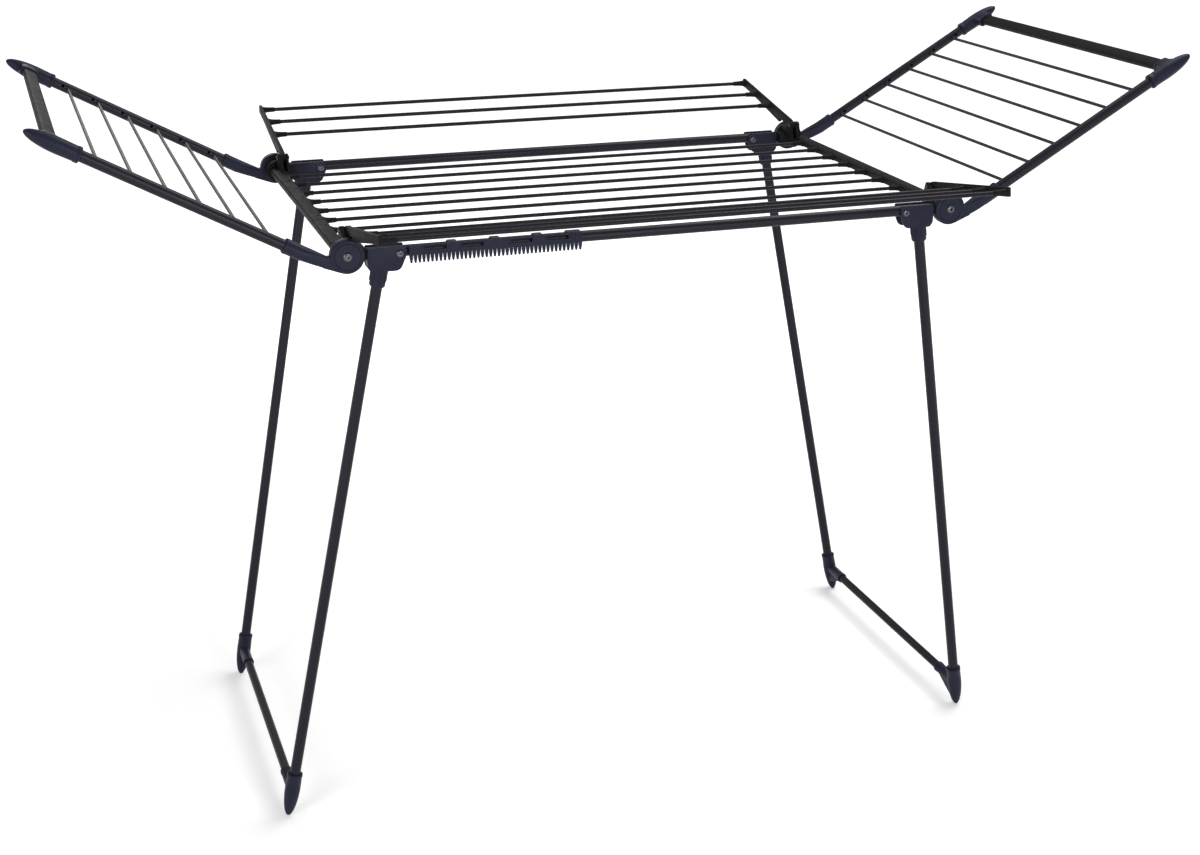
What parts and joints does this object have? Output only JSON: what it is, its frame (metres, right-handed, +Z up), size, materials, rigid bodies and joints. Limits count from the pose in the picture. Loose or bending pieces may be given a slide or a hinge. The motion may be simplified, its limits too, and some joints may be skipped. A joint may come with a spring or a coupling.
{
  "type": "clothes drying rack",
  "caption": "Free-standing folding clothes airer: flat rod frame on two splayed leg frames, two raised wings, two side flaps and a comb for small items.",
  "frame": {"origin": "centre of the footprint, on the floor", "axes": "+X along the rack towards the right wing, +Y across it towards the rear flap, +Z up"},
  "size_m": [1.7182, 0.947, 1.0963],
  "materials": {
    "tube": "satin powder coat, near black",
    "rod": "satin powder coat, near black",
    "grey_plastic": "matt dark grey moulding",
    "navy_plastic": "satin dark navy moulding",
    "rivet": "bright zinc"
  },
  "bodies": {
    "frame": {"front_rail": "tube", "rear_rail": "tube", "left_crossbar": "grey_plastic", "right_crossbar": "grey_plastic", "main_rods": "rod", "front_left_corner": "grey_plastic", "front_right_corner": "grey_plastic", "rear_left_corner": "grey_plastic", "rear_right_corner": "grey_plastic", "sock_comb": "navy_plastic", "wing_pins": "rivet", "leg_pins": "rivet", "flap_pins": "rivet"},
    "left_wing": {"left_wing_front_tube": "tube", "left_wing_rear_tube": "tube", "left_wing_end_bar": "grey_plastic", "left_wing_rods": "rod", "left_wing_front_cap": "navy_plastic", "left_wing_rear_cap": "navy_plastic", "left_wing_front_arm": "navy_plastic", "left_wing_rear_arm": "navy_plastic"},
    "right_wing": {"right_wing_front_tube": "tube", "right_wing_rear_tube": "tube", "right_wing_end_bar": "grey_plastic", "right_wing_rods": "rod", "right_wing_front_cap": "navy_plastic", "right_wing_rear_cap": "navy_plastic", "right_wing_front_arm": "navy_plastic", "right_wing_rear_arm": "navy_plastic"},
    "front_flap": {"front_flap_rods": "rod", "front_flap_left_arm": "grey_plastic", "front_flap_right_arm": "grey_plastic"},
    "rear_flap": {"rear_flap_rods": "rod", "rear_flap_left_arm": "grey_plastic", "rear_flap_right_arm": "grey_plastic"},
    "left_legs": {"left_front_leg": "tube", "left_rear_leg": "tube", "left_foot_bar": "tube", "left_front_foot": "navy_plastic", "left_rear_foot": "navy_plastic", "left_front_bracket": "navy_plastic", "left_rear_bracket": "navy_plastic"},
    "right_legs": {"right_front_leg": "tube", "right_rear_leg": "tube", "right_foot_bar": "tube", "right_front_foot": "navy_plastic", "right_rear_foot": "navy_plastic", "right_front_bracket": "navy_plastic", "right_rear_bracket": "navy_plastic"}
  },
  "joints": [
    {"name": "left_wing_hinge", "type": "hinge", "parent": "frame", "child": "left_wing", "pos_m": [-0.458, 0, 0.886], "axis": [0, 1, 0], "range_deg": [0, 75]},
    {"name": "right_wing_hinge", "type": "hinge", "parent": "frame", "child": "right_wing", "pos_m": [0.458, 0, 0.886], "axis": [0, -1, 0], "range_deg": [0, 75]},
    {"name": "front_flap_hinge", "type": "hinge", "parent": "frame", "child": "front_flap", "pos_m": [0, -0.25, 0.911], "axis": [-1, 0, 0], "range_deg": [0, 171.5]},
    {"name": "rear_flap_hinge", "type": "hinge", "parent": "frame", "child": "rear_flap", "pos_m": [0, 0.25, 0.911], "axis": [1, 0, 0], "range_deg": [0, 171.5]},
    {"name": "left_legs_hinge", "type": "hinge", "parent": "frame", "child": "left_legs", "pos_m": [-0.385, 0, 0.885], "axis": [0, -1, 0], "range_deg": [0, 100.5]},
    {"name": "right_legs_hinge", "type": "hinge", "parent": "frame", "child": "right_legs", "pos_m": [0.385, 0, 0.885], "axis": [0, 1, 0], "range_deg": [0, 96.5]}
  ]
}
